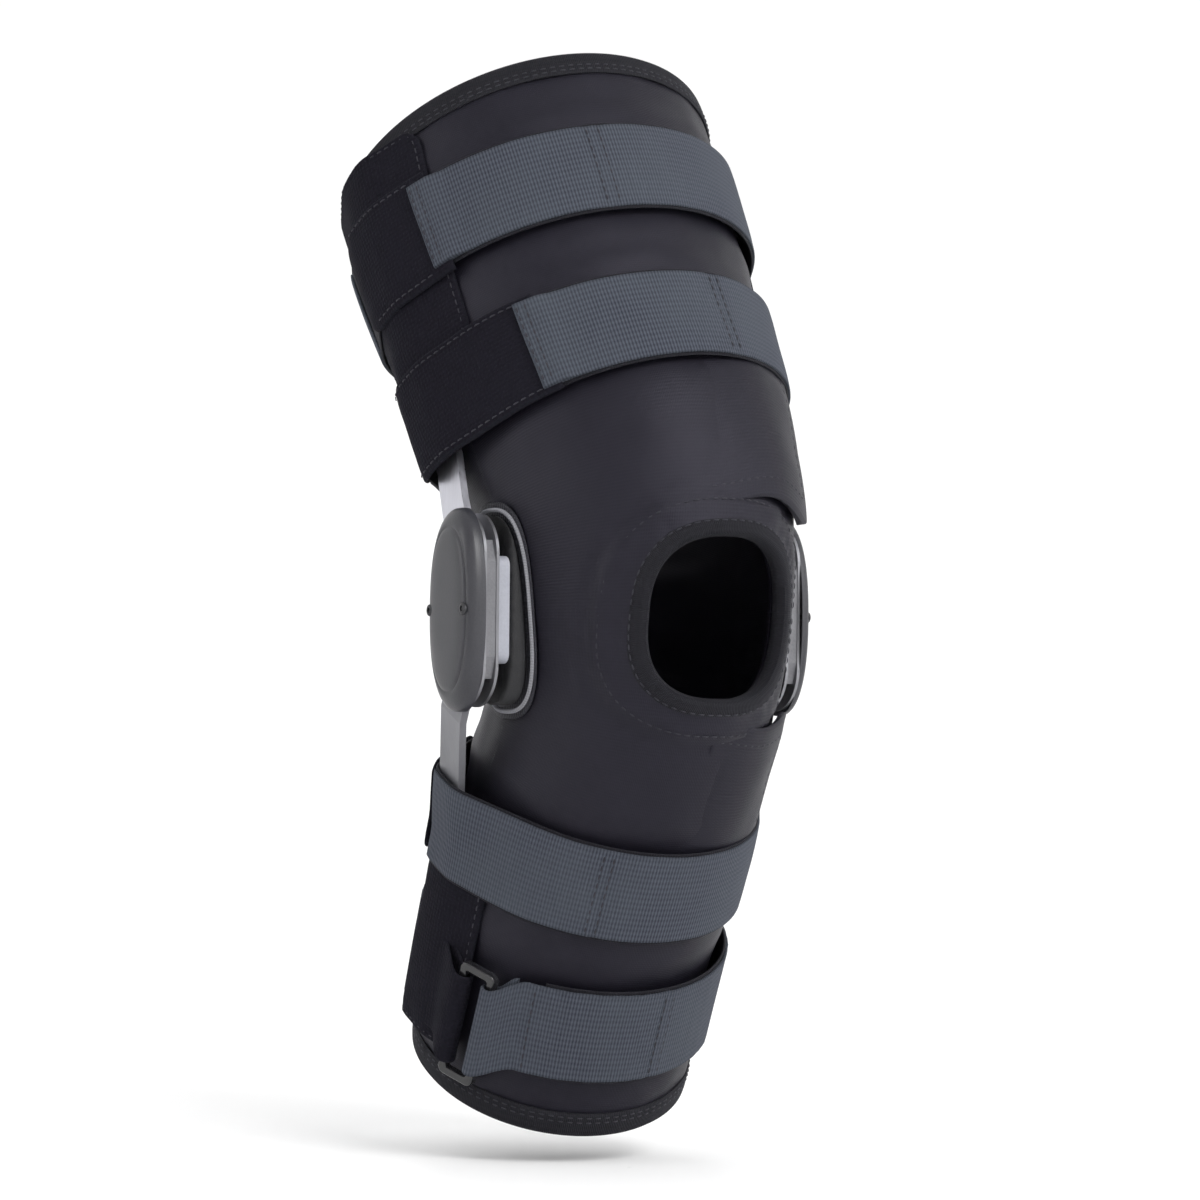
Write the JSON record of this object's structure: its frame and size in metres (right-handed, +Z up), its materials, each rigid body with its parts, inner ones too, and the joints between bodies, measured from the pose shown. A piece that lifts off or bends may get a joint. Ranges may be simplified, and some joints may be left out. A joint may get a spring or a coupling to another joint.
{
  "type": "hinged knee brace",
  "caption": "Wrap-around knee brace of neoprene with geared two-pivot side hinges, arms in pockets, elastic straps with hook tabs and an open kneecap.",
  "frame": {"origin": "midway between the two hinges and midway between their upper and lower pivots", "axes": "+X towards the medial hinge, +Y towards the back of the knee, +Z up; both hinge axes run along X, and the thigh and calf halves each lean 25 degrees backwards from Z"},
  "size_m": [0.1718, 0.235, 0.4574],
  "materials": {
    "neoprene": "smooth knit face on neoprene",
    "binding": "woven tape",
    "webbing": "elastic webbing with fine cross ribs",
    "hook_tab": "hook and pile laminate",
    "pocket": "brushed pile laminate",
    "patch": "smooth wear patch with pale piping",
    "arm_bright": "satin anodised",
    "arm_dark": "dark satin coat",
    "plate": "brushed",
    "pin": "turned",
    "washer": "nylon",
    "stop": "glass filled nylon",
    "cover": "fine moulded grain",
    "screw": "black oxide",
    "pad": "ribbed foam skin",
    "cup": "light grey moulded",
    "ring": "polished black"
  },
  "bodies": {
    "thigh": {"sleeve_thigh": "neoprene", "sleeve_knee_upper": "neoprene", "thigh_flap": "neoprene", "top_binding": "binding", "strap_1": "webbing", "strap_1_tab": "hook_tab", "strap_2": "webbing", "strap_2_tab": "hook_tab", "lateral_upper_arm": "arm_bright", "medial_upper_arm": "arm_bright", "lateral_upper_pocket": "pocket", "medial_upper_pocket": "pocket"},
    "lateral_hinge": {"lateral_inner_plate": "plate", "lateral_outer_plate": "plate", "lateral_thrust_washers": "washer", "lateral_pivot_pins": "pin", "lateral_extension_stop": "stop", "lateral_flexion_stop": "stop", "lateral_hinge_cover": "cover", "lateral_cover_screws": "screw", "lateral_condyle_pad": "pad", "lateral_condyle_cup": "cup", "lateral_wear_patch": "patch", "kneecap_binding": "binding", "kneecap_buttress": "neoprene"},
    "medial_hinge": {"medial_inner_plate": "plate", "medial_outer_plate": "plate", "medial_thrust_washers": "washer", "medial_pivot_pins": "pin", "medial_extension_stop": "stop", "medial_flexion_stop": "stop", "medial_hinge_cover": "cover", "medial_cover_screws": "screw", "medial_condyle_pad": "pad", "medial_condyle_cup": "cup", "medial_wear_patch": "patch"},
    "calf": {"sleeve_calf": "neoprene", "sleeve_knee_lower": "neoprene", "calf_flap": "neoprene", "bottom_binding": "binding", "strap_3": "webbing", "strap_3_tab": "hook_tab", "strap_4": "webbing", "strap_4_keeper": "hook_tab", "strap_ring": "ring", "lateral_lower_arm": "arm_dark", "medial_lower_arm": "arm_dark", "lateral_lower_pocket": "pocket", "medial_lower_pocket": "pocket"}
  },
  "joints": [
    {"name": "upper_pivot", "type": "hinge", "parent": "thigh", "child": "lateral_hinge", "pos_m": [0, 0, 0.01], "axis": [1, 0, 0], "range_deg": [-25, 30], "deforming": ["sleeve_knee_upper", "thigh_flap", "kneecap_binding", "kneecap_buttress"]},
    {"name": "medial_upper_pivot", "type": "hinge", "parent": "thigh", "child": "medial_hinge", "pos_m": [0, 0, 0.01], "axis": [1, 0, 0], "range_deg": [-25, 30]},
    {"name": "lower_pivot", "type": "hinge", "parent": "lateral_hinge", "child": "calf", "pos_m": [0, 0, -0.01], "axis": [1, 0, 0], "range_deg": [-25, 30], "deforming": ["sleeve_knee_lower", "calf_flap"]}
  ],
  "couplings": [
    {"joint": "medial_upper_pivot", "follows": "upper_pivot", "ratio": 1},
    {"joint": "lower_pivot", "follows": "upper_pivot", "ratio": 1}
  ]
}
